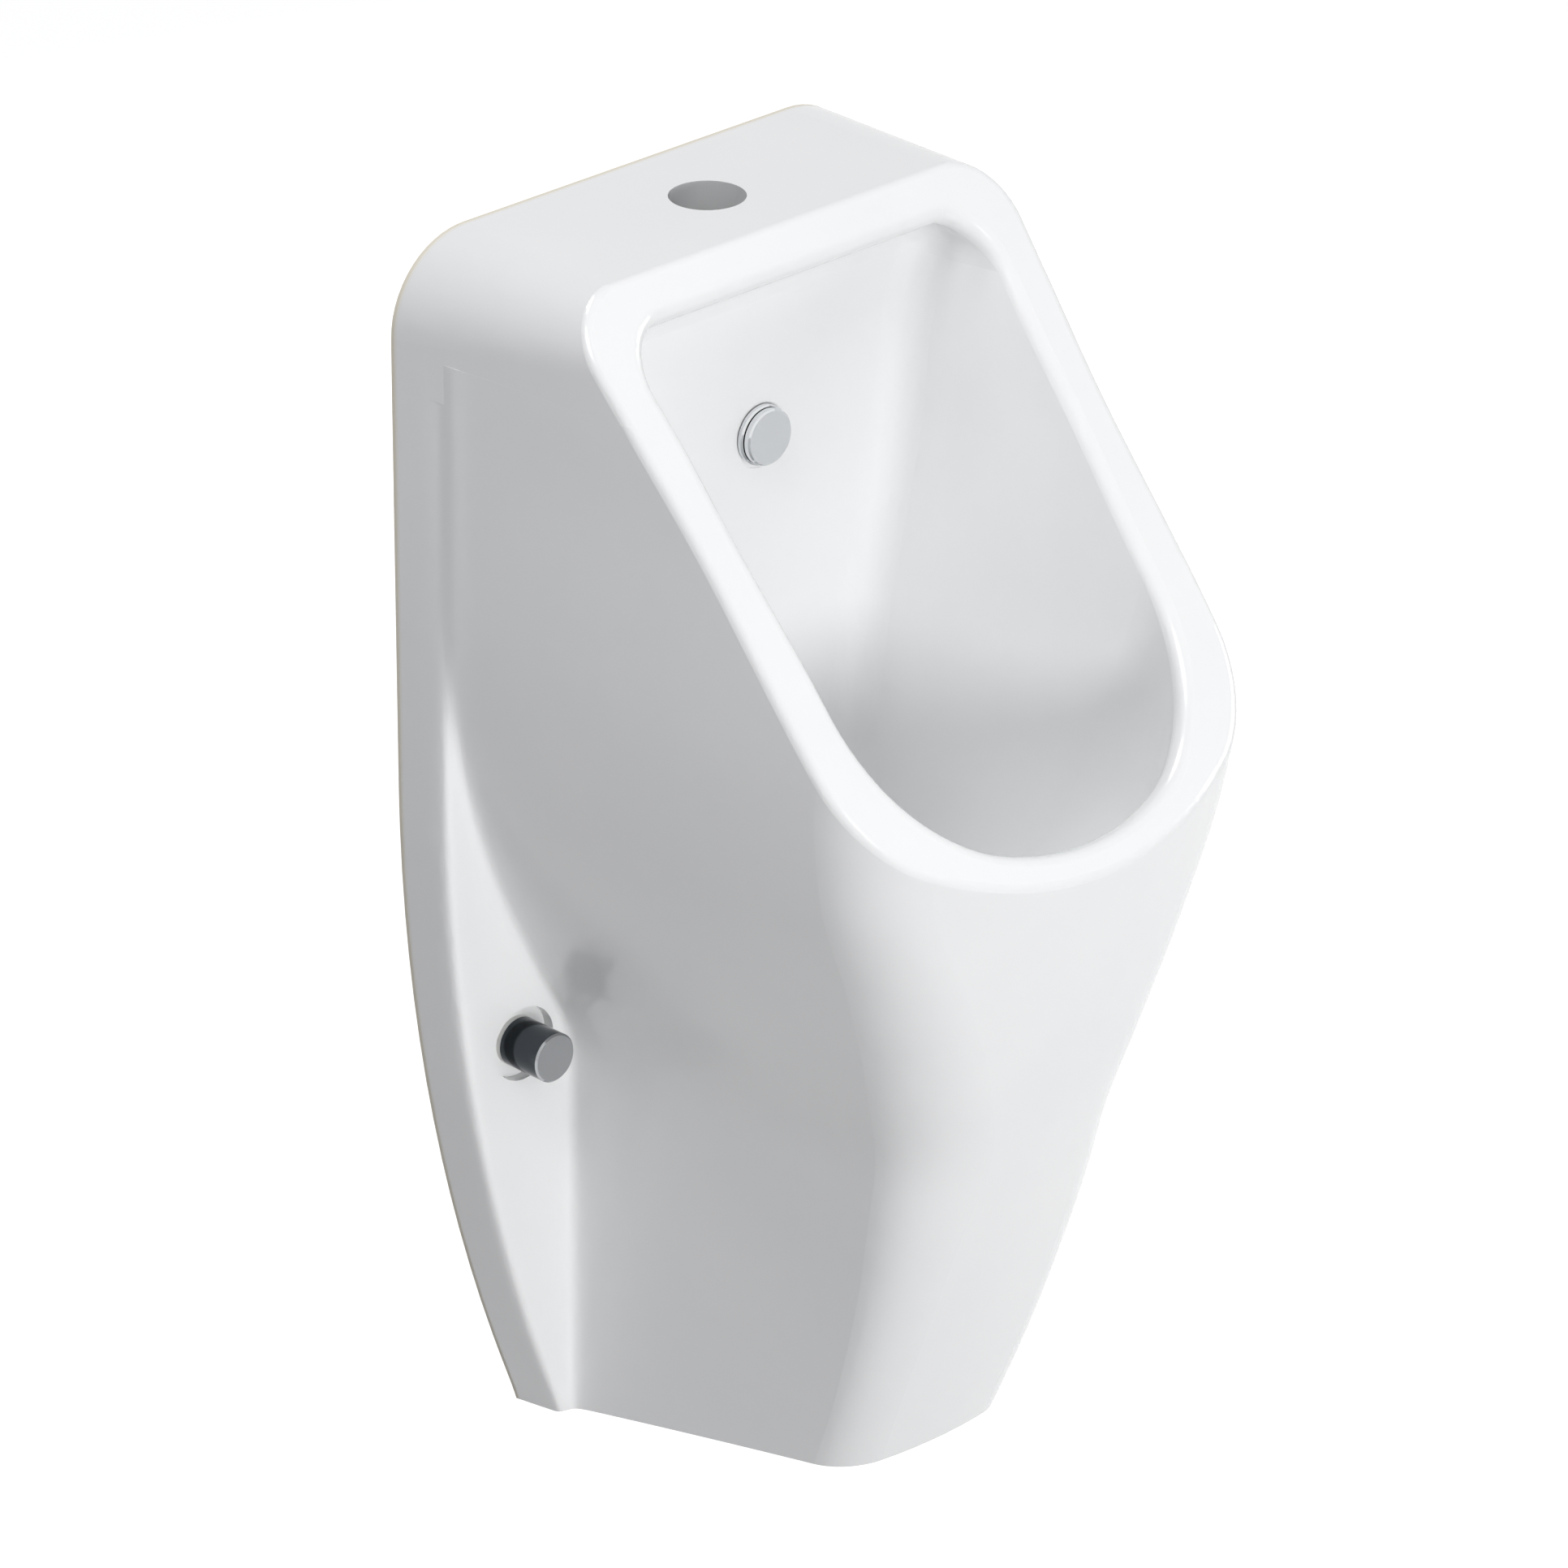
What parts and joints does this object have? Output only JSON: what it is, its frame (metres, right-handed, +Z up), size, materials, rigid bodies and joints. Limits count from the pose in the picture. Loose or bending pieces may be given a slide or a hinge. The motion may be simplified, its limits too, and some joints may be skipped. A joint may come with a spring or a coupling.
{
  "type": "wall-hung urinal",
  "caption": "Wall-hung urinal in glazed china with a sloping rim, deep bowl, inlet spreader, lift-out strainer, hidden bottle trap and pull-off caps over its wall fixings.",
  "frame": {"origin": "midway between the two wall fixings, on the wall plane", "axes": "+Z up, +Y into the wall, -Y towards the user, +X to the right of someone facing the wall"},
  "size_m": [0.3, 0.3685, 0.63],
  "materials": {
    "glazed_china": "gloss glaze",
    "chrome": "polished plating",
    "smoked_chrome": "polished dark plating",
    "black_rubber": "moulded, matt",
    "white_plastic": "moulded, satin",
    "zinc_steel": "zinc plated",
    "brass": "machined"
  },
  "bodies": {
    "urinal": {"ceramic_body": "glazed_china", "spreader_body": "chrome", "spreader_disc": "chrome", "waste_body": "chrome", "inlet_gland": "black_rubber", "spreader_seal": "black_rubber", "waste_upper_seal": "black_rubber", "waste_lower_seal": "black_rubber", "trap_inlet_seal": "black_rubber", "trap_cup_seal": "black_rubber", "outlet_seal": "black_rubber", "feed_pipe": "white_plastic", "feed_elbow": "white_plastic", "fixing_bushes": "white_plastic", "trap_inlet_nut": "white_plastic", "trap_dip_tube": "white_plastic", "trap_body": "white_plastic", "outlet_nut": "white_plastic", "outlet_pipe": "white_plastic", "fixing_bolts": "zinc_steel", "fixing_washers": "zinc_steel", "fixing_nuts": "zinc_steel", "spreader_washer": "zinc_steel", "spreader_backnut": "brass", "waste_locknut": "brass"},
    "left_cap": {"left_fixing_cap": "smoked_chrome"},
    "right_cap": {"right_fixing_cap": "smoked_chrome"},
    "strainer_grid": {"strainer": "chrome"},
    "bottle_cup": {"trap_cup": "white_plastic"}
  },
  "joints": [
    {"name": "left_cap_pull", "type": "slide", "parent": "urinal", "child": "left_cap", "axis": [0, -1, 0], "range_m": [0, 0.03]},
    {"name": "right_cap_pull", "type": "slide", "parent": "urinal", "child": "right_cap", "axis": [0, -1, 0], "range_m": [0, 0.03]},
    {"name": "strainer_lift", "type": "slide", "parent": "urinal", "child": "strainer_grid", "axis": [0, 0, 1], "range_m": [0, 0.06]},
    {"name": "cup_drop", "type": "slide", "parent": "urinal", "child": "bottle_cup", "axis": [0, 0, -1], "range_m": [0, 0.04]}
  ]
}
